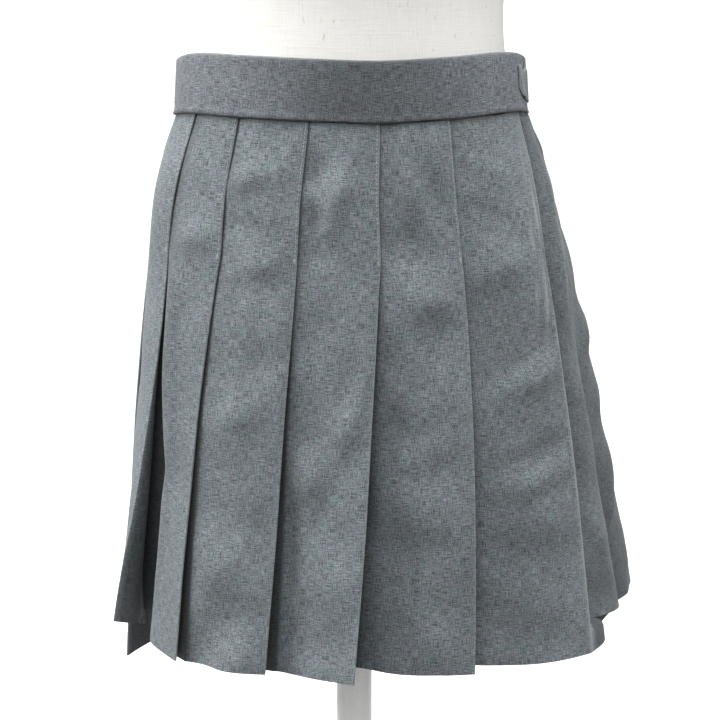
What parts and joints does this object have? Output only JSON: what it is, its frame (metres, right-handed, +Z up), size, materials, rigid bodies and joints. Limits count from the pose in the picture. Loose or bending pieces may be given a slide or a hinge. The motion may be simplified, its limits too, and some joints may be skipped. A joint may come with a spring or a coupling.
{
  "type": "pleated mini skirt on a dress form",
  "caption": "Short one-way knife-pleated wool-mix skirt with a plain waistband and a side closing, worn by a limbless linen dress form on a pole and round base.",
  "frame": {"origin": "centre of the base's underside, on the floor", "axes": "+Z up, the wearer faces -Y, +X is the wearer's left"},
  "size_m": [0.3738, 0.3071, 1.0853],
  "materials": {
    "cloth": "matt mid-grey melange suiting, plain worsted weave",
    "zip_tape": "dark woven zip tape",
    "linen": "off-white slub linen",
    "wood": "satin lacquered light wood",
    "white_paint": "white powder coat"
  },
  "bodies": {
    "root": {"skirt_front": "cloth", "skirt_back": "cloth", "waistband": "cloth", "waistband_tab": "cloth", "side_zip": "zip_tape", "form_body": "linen", "form_neck_cap": "wood", "form_bottom_plate": "wood", "form_pole": "white_paint", "form_base": "white_paint"}
  },
  "joints": []
}
